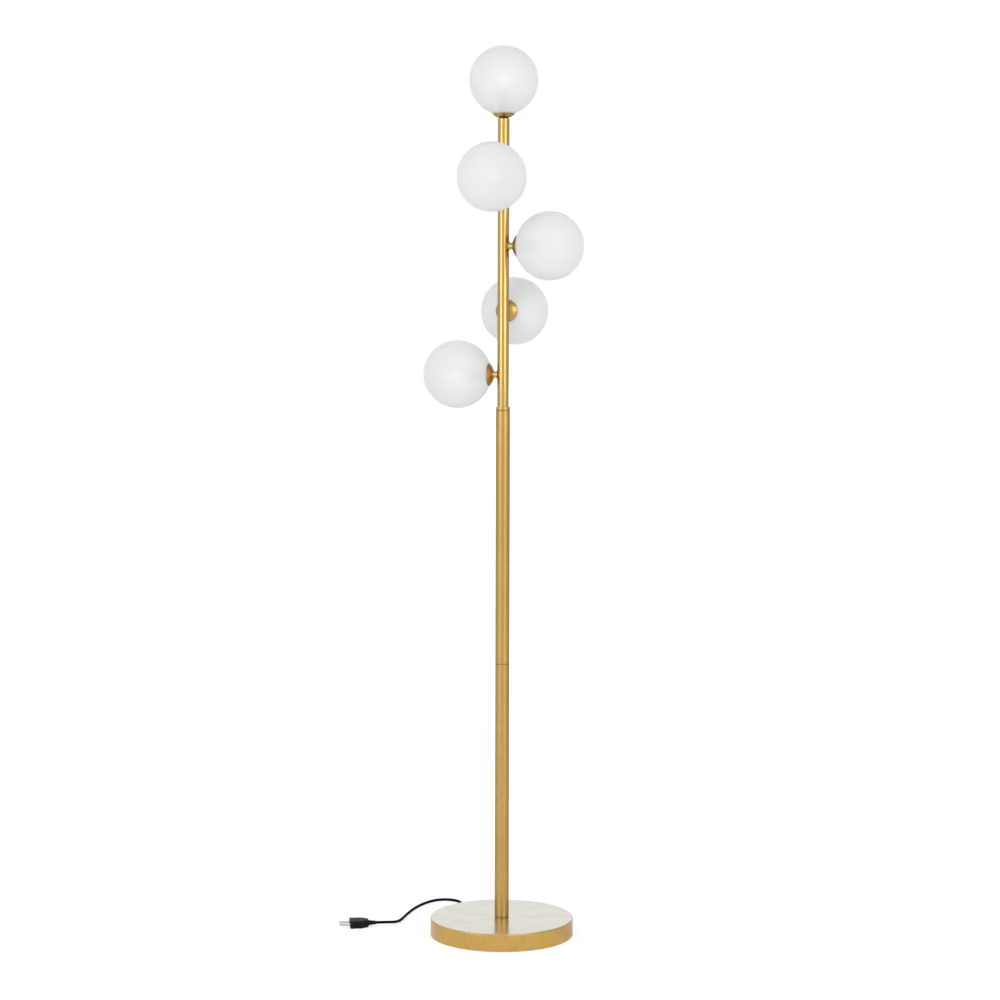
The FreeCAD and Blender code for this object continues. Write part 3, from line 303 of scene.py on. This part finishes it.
# Painted shade: a dark copy of the gold for the joins
painted_shade_gold = gold("painted_shade_gold", PAINTED_SHADE_GOLD, PAINTED_SHADE_GOLD_DARKER, 0.35, 0.5, EVERY_WAY)
cast_iron = plastic("cast_iron", (0.05, 0.05, 0.052), 0.6, grain=300.0, depth=0.0002)
pad_rubber = plastic("pad_rubber", (0.02, 0.02, 0.02), 0.75, grain=500.0, depth=0.0001)
zinc_steel = metal("zinc_steel", (0.62, 0.63, 0.62), 0.35, grain=AROUND)
black_plastic = plastic("black_plastic", (0.004, 0.004, 0.0045), 0.5, Specular_IOR_Level=0.2)
cord_sheath = plastic("cord_sheath", (0.001, 0.001, 0.001), 0.6, grain=1500.0, Specular_IOR_Level=0.05)
button_plastic = plastic("button_plastic", (0.03, 0.03, 0.032), 0.3)
nickel = metal("nickel", (0.78, 0.76, 0.72), 0.2)
pale_sleeve = plastic("pale_sleeve", (0.75, 0.74, 0.70), 0.45)
holder_plastic = plastic("holder_plastic", (0.38, 0.38, 0.375), 0.5)
seat_rubber = plastic("seat_rubber", (0.66, 0.66, 0.64), 0.5)

# The finish of every node, replaced ones too
FINISHES = {
    satin_gold: ["middle_tube"],
    foot_shadowed_gold: ["lower_tube"],
    polished_gold: ["upper_tube"],
    turned_gold: [f"{head}_arm" for head in ARMS],
    cup_gold: [f"{head}_cup" for head in HEADS],
    collar_gold(): ["reducer_collar"],
    # The stud between the tubes and the plug at the top are painted in shade, as dark lines at the
    # joins
    painted_shade_gold: ["tube_joint_stud", "top_plug"],
    cover_gold(): ["base_cover"],
    cast_iron: ["base_weight"],
    pad_rubber: ["base_pad"],
    zinc_steel: ["base_rod", "base_washer", "base_nut", "tube_inserts", "arm_pipes", "switch_screws"],
    black_plastic: [
        "cord_strain_relief",
        "switch_base",
        "switch_cover",
        "switch_contacts",
        "plug_body",
        "terminal_block",
        "coil_tie",
    ],
    cord_sheath: ["inner_mains_cord", "riser_cable", "cord_lead", "cord_coil", "cord_tail"],
    button_plastic: ["switch_button"],
    nickel: ["plug_pins"],
    pale_sleeve: ["lamp_leads", "wire_splice"],
    holder_plastic: [f"{head}_lamp_holder" for head in HEADS],
    seat_rubber: [f"{head}_seat" for head in HEADS],
    opal_glass(): [f"{head}_globe" for head in HEADS],
}
FINISHES |= {lit_bulb(head): [f"{head}_bulb"] for head in HEADS}
for finish, names in FINISHES.items():
    for name in names:
        nodes[name].data.materials.clear()
        nodes[name].data.materials.append(finish)


# Cords: the same corners as the part's source, in metres

CORD_DIAMETER = 0.005
BASE_RADIUS, RELIEF_LENGTH = 0.127, 0.021
RELIEF_REACH = BASE_RADIUS + RELIEF_LENGTH
EXIT_ANGLE, EXIT_HEIGHT = math.radians(64.9), 0.0062
SWITCH_LENGTH, GLAND_LENGTH = 0.054, 0.008
SWITCH_REACH = SWITCH_LENGTH + 2 * GLAND_LENGTH
COIL_MIDDLE = Vector((-0.0767, 0.1477, 0.0))
COIL_INNER_RADIUS, COIL_PITCH, COIL_DIP = 0.019, 0.0055, 0.0009
COIL_TOP, COIL_LAYER_RISE = 0.0090, 0.0055
COIL_LAYER_TURNS, COIL_LAYER_CHANGE = 2.5, 0.5
COIL_POINTS_PER_TURN = 24
COIL_ENTRY_WAY, COIL_EXIT_WAY = math.radians(215.5), math.radians(104.2)
COIL_ENTRY_RUN, COIL_EXIT_RUN = 0.020, 0.005
PLUG_WAY, PLUG_THICKNESS = math.radians(202.0), 0.0137
PLUG_BOOT_TIP = Vector((-0.2329, -0.0049, PLUG_THICKNESS / 2))
LEAD_RUN, TAIL_RUN = 0.0159, 0.018

LEAD_CORNERS = [
    (0.0681, 0.1644, 0.0042),
    (0.0589, 0.1774, 0.0034),
    (0.0444, 0.1841, 0.0056),
]
TAIL_CORNERS = [
    (-0.1225, 0.1835, 0.0025),
    (-0.1325, 0.2011, 0.0025),
    (-0.1462, 0.2104, 0.0025),
    (-0.1620, 0.2113, 0.0025),
    (-0.1763, 0.2044, 0.0025),
    (-0.1868, 0.1886, 0.0025),
    (-0.1959, 0.1620, 0.0025),
    (-0.2010, 0.1244, 0.0025),
    (-0.2014, 0.0824, 0.0025),
    (-0.2000, 0.0504, 0.0025),
    (-0.1997, 0.0308, 0.0032),
    (-0.2042, 0.0139, 0.0048),
]


def level(angle, length=1.0):
    """A level vector, by its angle from +X and its length."""
    return Vector((math.cos(angle) * length, math.sin(angle) * length, 0.0))


def coil_points():
    """The coil's line: in on the upper layer, down a layer, and out on the floor."""
    swing = (COIL_ENTRY_WAY - COIL_EXIT_WAY) % (2 * math.pi) / (2 * math.pi)
    turns = math.floor(2 * COIL_LAYER_TURNS + COIL_LAYER_CHANGE - swing) + swing
    steps = round(turns * COIL_POINTS_PER_TURN)
    points = []
    for step in range(steps + 1):
        turn = turns * step / steps
        inward = COIL_LAYER_TURNS - turn
        outward = -inward - COIL_LAYER_CHANGE
        radius = COIL_INNER_RADIUS + COIL_PITCH * max(inward, outward, 0.0)
        dropped = 0.0 if inward >= 0 else 1.0
        if inward < 0 and outward < 0:
            share = -inward / COIL_LAYER_CHANGE
            radius -= COIL_DIP * math.sin(math.pi * share)
            dropped = (1 - math.cos(math.pi * share)) / 2
        angle = COIL_ENTRY_WAY + math.pi / 2 - 2 * math.pi * turn
        height = Vector((0, 0, COIL_TOP - COIL_LAYER_RISE * dropped))
        points.append(COIL_MIDDLE + level(angle, radius) + height)
    return points


def cord_curve(name, points):
    """A smooth cord whose line is drawn by the points of its route."""
    curve = bpy.data.curves.new(name, "CURVE")
    curve.dimensions = "3D"
    spline = curve.splines.new("NURBS")
    spline.points.add(len(points) - 1)
    for point, place in zip(spline.points, points):
        point.co = (*place, 1)
    spline.order_u = 3
    spline.use_endpoint_u = True
    curve.resolution_u = 8
    curve.bevel_depth = CORD_DIAMETER / 2
    curve.bevel_resolution = 5
    curve.use_fill_caps = True
    curve.materials.append(cord_sheath)
    piece = bpy.data.objects.new(name, curve)
    bpy.context.scene.collection.objects.link(piece)
    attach(piece, "stand")
    return piece


# Moulded fittings on the cord: closed meshes through loops of points

CORNER_STEPS, ROUND_STEPS = 8, 6
RIB_SHARE, GROOVE_STARTS, GROOVE_ENDS = 0.55, 0.65, 0.90
SHARP = math.radians(35)


def rounded_loop(wide, tall, corner):
    """Points across and up, round a rectangle with round corners."""
    points = []
    for quarter, (side, end) in enumerate(((1, 1), (-1, 1), (-1, -1), (1, -1))):
        for step in range(CORNER_STEPS):
            angle = math.pi / 2 * (quarter + (step + 0.5) / CORNER_STEPS)
            across = side * (wide / 2 - corner) + corner * math.cos(angle)
            up = end * (tall / 2 - corner) + corner * math.sin(angle)
            points.append((across, up))
    return points


def round_loop(radius):
    return rounded_loop(2 * radius, 2 * radius, radius)


def soft_edge(radius):
    """A quarter round from a face to its side: how far along, and how far in, at each step."""
    for step in range(ROUND_STEPS + 1):
        angle = math.pi / 2 * step / ROUND_STEPS
        yield radius * (1 - math.cos(angle)), radius * (1 - math.sin(angle))


def grooved(start, end, pitch, depth):
    """Ribs with narrow grooves between: places along a run, and how deep the surface lies there."""
    count = int((end - start) / pitch)
    for rib in range(count):
        for share, inset in ((0, 0), (RIB_SHARE, 0), (GROOVE_STARTS, depth), (GROOVE_ENDS, depth)):
            yield start + (rib + share) * pitch, inset
    yield start + count * pitch, 0.0


def stacked(rows):
    """Loops of points, each laid at its place along the third axis."""
    return [[(*point, along) for point in points] for along, points in rows]


def moulding(name, parts, place, node):
    """A black moulding for a node. Each part is its loops, and whether the last joins the first."""
    work = bmesh.new()
    for loops, joined in parts:
        rows = [[work.verts.new(place @ Vector(point)) for point in loop] for loop in loops]
        for first, second in zip(rows, rows[1:] + rows[:1] if joined else rows[1:]):
            for step in range(len(first)):
                after = (step + 1) % len(first)
                work.faces.new((first[step], first[after], second[after], second[step]))
        if not joined:
            work.faces.new(rows[0])
            work.faces.new(rows[-1])
    bmesh.ops.recalc_face_normals(work, faces=work.faces)
    mesh = bpy.data.meshes.new(name)
    work.to_mesh(mesh)
    work.free()
    mesh.shade_smooth()
    mesh.set_sharp_from_angle(angle=SHARP)
    mesh.materials.append(black_plastic)
    piece = bpy.data.objects.new(name, mesh)
    bpy.context.scene.collection.objects.link(piece)
    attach(piece, "stand")
    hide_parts(node)
    return piece


def along_way(start, way):
    """The place of loops that are drawn across and up, and stacked along a level way."""
    up = Vector((0, 0, 1))
    turn = Matrix((up.cross(way), up, way)).transposed()
    return Matrix.Translation(start) @ turn.to_4x4()


RELIEF_BORE, RELIEF_NECK, RELIEF_FLANGE = 0.0026, 0.0039, 0.0052
RELIEF_FLANGE_THICKNESS, RELIEF_INNER_FACE = 0.0015, 0.1253
RELIEF_ROOT, RELIEF_TIP, RELIEF_END_ROUND = 0.0044, 0.0033, 0.0004
RELIEF_RIB_PITCH, RELIEF_GROOVE = 0.0026, 0.0006


def strain_relief():
    """The tapered relief: a flange on each side of the cover's wall, then ribs out to the tip."""
    root = BASE_RADIUS + RELIEF_FLANGE_THICKNESS
    inner_end = RELIEF_INNER_FACE - RELIEF_FLANGE_THICKNESS
    profile = [(inner_end, RELIEF_BORE), (inner_end, RELIEF_FLANGE)]
    profile += [(RELIEF_INNER_FACE, RELIEF_FLANGE), (RELIEF_INNER_FACE, RELIEF_NECK)]
    profile += [(BASE_RADIUS, RELIEF_NECK), (BASE_RADIUS, RELIEF_FLANGE)]
    profile += [(root - RELIEF_END_ROUND, RELIEF_FLANGE), (root, RELIEF_FLANGE - RELIEF_END_ROUND)]
    for along, inset in grooved(root, RELIEF_REACH, RELIEF_RIB_PITCH, RELIEF_GROOVE):
        share = (along - root) / (RELIEF_REACH - root)
        profile.append((along, RELIEF_ROOT + (RELIEF_TIP - RELIEF_ROOT) * share - inset))
    profile.append((RELIEF_REACH - RELIEF_END_ROUND, RELIEF_TIP))
    profile.append((RELIEF_REACH, RELIEF_TIP - RELIEF_END_ROUND))
    profile.append((RELIEF_REACH, RELIEF_BORE))
    loops = stacked((along, round_loop(radius)) for along, radius in profile)
    place = along_way(Vector((0, 0, EXIT_HEIGHT)), level(EXIT_ANGLE))
    return moulding("ribbed_strain_relief", [(loops, True)], place, "cord_strain_relief")


SWITCH_WIDTH, SWITCH_HEIGHT, SWITCH_AXIS = 0.022, 0.018, 0.009
SWITCH_CORNER, SWITCH_WALL, SWITCH_ROUND, SWITCH_SEAM = 0.006, 0.0016, 0.0024, 0.0005
GLAND_ROOT, GLAND_TIP, GLAND_STEPS = 0.0048, 0.0033, 16
BUTTON_OPENING = 0.0069


def switch_loop(inset):
    """The switch's outline from above, drawn in by an inset."""
    corner = SWITCH_CORNER - inset
    return rounded_loop(SWITCH_LENGTH - 2 * inset, SWITCH_WIDTH - 2 * inset, corner)


def upper_gland(side):
    """The upper half of the cone that the cord enters at one end of the switch."""
    loops = []
    for along, radius in ((-SWITCH_WALL, GLAND_ROOT), (0.0, GLAND_ROOT), (GLAND_LENGTH, GLAND_TIP)):
        x = side * (SWITCH_LENGTH / 2 + along)
        turns = [math.pi * step / GLAND_STEPS for step in range(GLAND_STEPS + 1)]
        arc = [(radius * math.cos(turn), SWITCH_AXIS + radius * math.sin(turn)) for turn in turns]
        loops.append([(x, y, z) for y, z in arc])
    return loops


def switch_lid(middle):
    """The switch's upper half: a shell with a soft upper edge, a seam and the button's opening."""
    rows = [(SWITCH_AXIS, switch_loop(SWITCH_SEAM)), (SWITCH_AXIS + SWITCH_SEAM, switch_loop(0.0))]
    for inset, down in soft_edge(SWITCH_ROUND):
        rows.append((SWITCH_HEIGHT - down, switch_loop(inset)))
    ceiling = SWITCH_HEIGHT - SWITCH_WALL
    rows += [(SWITCH_HEIGHT, round_loop(BUTTON_OPENING)), (ceiling, round_loop(BUTTON_OPENING))]
    rows += [(ceiling, switch_loop(SWITCH_ROUND)), (SWITCH_AXIS, switch_loop(SWITCH_WALL))]
    parts = [(stacked(rows), True), (upper_gland(-1), False), (upper_gland(1), False)]
    place = Matrix.Translation(middle) @ Matrix.Rotation(COIL_ENTRY_WAY, 4, "Z")
    return moulding("switch_lid", parts, place, "switch_cover")


PLUG_BOOT, PLUG_BOOT_TIP_RADIUS, PLUG_BOOT_ROOT_RADIUS = 0.014, 0.0033, 0.005
PLUG_LENGTH, PLUG_TAPER = 0.034, 0.014
PLUG_WIDTH, PLUG_REAR_WIDTH, PLUG_CORNER, PLUG_ROUND = 0.034, 0.017, 0.0035, 0.002
BOOT_RIB_PITCH, BOOT_GROOVE = 0.0026, 0.0006
GRIP_STARTS, GRIP_ENDS, GRIP_PITCH, GRIP_GROOVE = 0.030, 0.043, 0.0026, 0.0005


def plug_loop(along, inset):
    """The plug's section: it widens from its rear to its pins."""
    share = min((along - PLUG_BOOT) / PLUG_TAPER, 1.0)
    wide = PLUG_REAR_WIDTH + (PLUG_WIDTH - PLUG_REAR_WIDTH) * share
    return rounded_loop(wide - 2 * inset, PLUG_THICKNESS - 2 * inset, PLUG_CORNER)


def plug_moulding():
    """The plug's body: a ribbed boot, a soft widening rear, and grip grooves before the pins."""
    rows = []
    widening = PLUG_BOOT_ROOT_RADIUS - PLUG_BOOT_TIP_RADIUS
    for along, inset in grooved(0.0, PLUG_BOOT, BOOT_RIB_PITCH, BOOT_GROOVE):
        radius = PLUG_BOOT_TIP_RADIUS + widening * along / PLUG_BOOT
        rows.append((along, round_loop(radius - inset)))
    rows.append((PLUG_BOOT, round_loop(PLUG_BOOT_ROOT_RADIUS)))
    rear, front = PLUG_BOOT, PLUG_BOOT + PLUG_LENGTH
    for along, inset in soft_edge(PLUG_ROUND):
        rows.append((rear + along, plug_loop(rear + along, inset)))
    rows.append((rear + PLUG_TAPER, plug_loop(rear + PLUG_TAPER, 0.0)))
    for along, inset in grooved(GRIP_STARTS, GRIP_ENDS, GRIP_PITCH, GRIP_GROOVE):
        rows.append((along, plug_loop(along, inset)))
    for along, inset in reversed(list(soft_edge(PLUG_ROUND))):
        rows.append((front - along, plug_loop(front - along, inset)))
    place = along_way(PLUG_BOOT_TIP, level(PLUG_WAY))
    return moulding("plug_moulding", [(stacked(rows), False)], place, "plug_body")


coil = coil_points()
switch_exit = coil[0] - level(COIL_ENTRY_WAY, COIL_ENTRY_RUN)
switch_entry = switch_exit - level(COIL_ENTRY_WAY, SWITCH_REACH)
relief_tip = level(EXIT_ANGLE, RELIEF_REACH) + Vector((0, 0, EXIT_HEIGHT))
lead_route = [relief_tip, relief_tip + level(EXIT_ANGLE, LEAD_RUN), *LEAD_CORNERS]
lead_route += [switch_entry - level(COIL_ENTRY_WAY, LEAD_RUN), switch_entry]
coil_exit = coil[-1] + level(COIL_EXIT_WAY, COIL_EXIT_RUN)
tail_route = [switch_exit, *coil, coil_exit, coil_exit + level(COIL_EXIT_WAY, TAIL_RUN), *TAIL_CORNERS]
tail_route += [PLUG_BOOT_TIP - level(PLUG_WAY, TAIL_RUN), PLUG_BOOT_TIP]

strain_relief()
switch_middle = (switch_entry + switch_exit) / 2
lid = switch_lid(Vector((switch_middle.x, switch_middle.y, 0.0)))
plug = plug_moulding()

lead = cord_curve("lead_cord", lead_route)
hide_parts("cord_lead")

tail = cord_curve("tail_cord", tail_route)
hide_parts("cord_coil", "cord_tail")


# Stage, light and camera

CAMERA_TURN = math.radians(14.2355)


def from_camera_side(x, y, z):
    """A place given with -Y towards the camera, turned into the lamp's frame."""
    return Matrix.Rotation(CAMERA_TURN, 3, "Z") @ Vector((x, y, z))


# The studio as metal sees it: how bright it is at each angle round the lamp, in degrees
# from the white backdrop behind it, to the right.
STUDIO_RING = [
    (-180, 0.88),
    (-118, 0.88),
    (-95, 0.78),
    (-35, 0.78),
    (-14, 1.0),
    (14, 1.0),
    (35, 0.62),
    (95, 0.62),
    (118, 0.84),
    (180, 0.88),
]


def studio_ring(tree, place):
    """The ring's brightness in the direction of a vector."""
    angle = add_node(tree, "ShaderNodeMath", operation="ARCTAN2")
    for way, target in zip((from_camera_side(1, 0, 0), from_camera_side(0, 1, 0)), angle.inputs):
        part = add_node(tree, "ShaderNodeVectorMath", {1: way}, operation="DOT_PRODUCT")
        tree.links.new(place, part.inputs[0])
        tree.links.new(part.outputs["Value"], target)
    share = add_node(tree, "ShaderNodeMapRange", {"From Min": -math.pi, "From Max": math.pi})
    tree.links.new(angle.outputs["Value"], share.inputs["Value"])
    brightness = add_node(tree, "ShaderNodeValToRGB")
    stops = brightness.color_ramp.elements
    while len(stops) < len(STUDIO_RING):
        stops.new(0.5)
    for stop, (degrees, level_there) in zip(stops, STUDIO_RING):
        stop.position = 0.5 + degrees / 360
        stop.color = (level_there, level_there, level_there, 1)
    tree.links.new(share.outputs["Result"], brightness.inputs["Fac"])
    return brightness.outputs["Color"]


FLOOR_SIZE = 60
FLOOR_GREY, FLOOR_GREY_PALE = (0.52, 0.52, 0.52), (0.54, 0.54, 0.54)
# The floor's glow: to the camera it grows from the lamp's shadow out to white
FLOOR_NEAR, FLOOR_FAR = 0.35, 1.1
GLOW_NEAR, GLOW_FAR = 0.66, 1.0
GLOW_IN_METAL, GLOW_THROUGH_GLASS, GLOW_UNSEEN = 0.60, 0.5, 0.36
RING_DIMMEST, RING_BRIGHTEST = 0.3, 1.0


def floor():
    """A pale floor that the camera sees as white, apart from the lamp's soft shadow."""
    bpy.ops.mesh.primitive_plane_add(size=FLOOR_SIZE, location=(0, 0, 0))
    plane = bpy.context.object
    plane.name = "floor"
    shader = Shader("pale_floor", Roughness=0.9, Specular_IOR_Level=0.0)
    paper = shader.ramp(shader.noise(0.8), 0, 1)
    shader.colour(shader.mixed("RGBA", paper, FLOOR_GREY, FLOOR_GREY_PALE))
    away = shader.node("ShaderNodeVectorMath", operation="LENGTH")
    shader.link(shader.place(), away.inputs[0])
    distance = away.outputs["Value"]
    to_camera = shader.ramp(distance, GLOW_NEAR, GLOW_FAR, start=FLOOR_NEAR, end=FLOOR_FAR)
    rays = shader.node("ShaderNodeLightPath")
    around = studio_ring(shader.tree, shader.place())
    to_metal = shader.ramp(around, 0.0, GLOW_IN_METAL, start=RING_DIMMEST, end=RING_BRIGHTEST)
    through_glass = rays.outputs["Is Transmission Ray"]
    unseen = shader.mixed("FLOAT", through_glass, GLOW_UNSEEN, GLOW_THROUGH_GLASS)
    reflected = shader.mixed("FLOAT", rays.outputs["Is Glossy Ray"], unseen, to_metal)
    glow = shader.mixed("FLOAT", rays.outputs["Is Camera Ray"], reflected, to_camera)
    shader.main.inputs["Emission Color"].default_value = (1, 1, 1, 1)
    shader.link(glow, shader.main.inputs["Emission Strength"])
    plane.data.materials.append(shader.material)


WORLD_FILL = 0.62
# Sockets of a Mix node that mixes two numbers
MIX_FACTOR, MIX_FIRST, MIX_SECOND = 0, 2, 3


def white_world():
    """White to the camera and through glass, the studio's ring in metal, and a softer fill."""
    world = bpy.data.worlds.new("studio")
    bpy.context.scene.world = world
    world.use_nodes = True
    tree = world.node_tree
    background = tree.nodes["Background"]
    background.inputs["Color"].default_value = (1, 1, 1, 1)
    rays = add_node(tree, "ShaderNodeLightPath")
    way = add_node(tree, "ShaderNodeTexCoord").outputs["Generated"]
    fill = add_node(tree, "ShaderNodeMix", {MIX_FIRST: WORLD_FILL})
    tree.links.new(rays.outputs["Is Glossy Ray"], fill.inputs[MIX_FACTOR])
    tree.links.new(studio_ring(tree, way), fill.inputs[MIX_SECOND])
    strength = fill.outputs[0]
    for ray in ("Is Transmission Ray", "Is Camera Ray"):
        choice = add_node(tree, "ShaderNodeMix", {MIX_SECOND: 1.0})
        tree.links.new(rays.outputs[ray], choice.inputs[MIX_FACTOR])
        tree.links.new(strength, choice.inputs[MIX_FIRST])
        strength = choice.outputs[0]
    tree.links.new(strength, background.inputs["Strength"])


CAMERA_PITCH = math.radians(4.4351)
CAMERA_PAN = math.radians(-0.0646)
CAMERA_ROLL = math.radians(0.1440)
CAMERA_DISTANCE, CAMERA_HEIGHT = 4.27822, 1.11008
FOCAL_LENGTH, SENSOR = 87.588, 36.0


BOX_DISTANCE, BOX_WIDTH, BOX_DROP = 2.3, 1.35, 0.15
BOX_ANGLES = {"left": -44, "right": 42}


def soft_box(side, name, height, tall, radiance):
    """A rectangular lamp on one side of the camera, facing a little down towards the pole."""
    area = bpy.data.lights.new(f"{side}_{name}_box", "AREA")
    area.shape = "RECTANGLE"
    area.size, area.size_y = BOX_WIDTH, tall
    area.energy = radiance * math.pi * BOX_WIDTH * tall
    lamp = bpy.data.objects.new(area.name, area)
    bpy.context.scene.collection.objects.link(lamp)
    turn = math.radians(BOX_ANGLES[side])
    across, back = BOX_DISTANCE * math.sin(turn), BOX_DISTANCE * math.cos(turn)
    lamp.location = from_camera_side(across, -back, height)
    aim = Vector((0, 0, height - BOX_DROP)) - lamp.location
    lamp.rotation_euler = aim.to_track_quat("-Z", "Y").to_euler()


def camera():
    """The photograph's camera, found by fitting the lamp's outline."""
    data = bpy.data.cameras.new("camera")
    data.lens, data.sensor_width = FOCAL_LENGTH, SENSOR
    piece = bpy.data.objects.new("camera", data)
    bpy.context.scene.collection.objects.link(piece)
    forward = from_camera_side(
        math.sin(CAMERA_PAN) * math.cos(CAMERA_PITCH),
        math.cos(CAMERA_PAN) * math.cos(CAMERA_PITCH),
        -math.sin(CAMERA_PITCH),
    )
    right = forward.cross(Vector((0, 0, 1))).normalized()
    up = right.cross(forward)
    level_right = right * math.cos(CAMERA_ROLL) + up * math.sin(CAMERA_ROLL)
    level_up = up * math.cos(CAMERA_ROLL) - right * math.sin(CAMERA_ROLL)
    turn = Matrix((level_right, level_up, -forward)).transposed()
    place = from_camera_side(0, -CAMERA_DISTANCE, CAMERA_HEIGHT)
    piece.matrix_world = Matrix.Translation(place) @ turn.to_4x4()
    bpy.context.scene.camera = piece


floor()
white_world()
for box_side in BOX_ANGLES:
    soft_box(box_side, "upper", height=1.75, tall=1.7, radiance=1.5)
    soft_box(box_side, "lower", height=0.45, tall=0.9, radiance=0.4)
camera()
bpy.context.scene.view_settings.view_transform = "Standard"
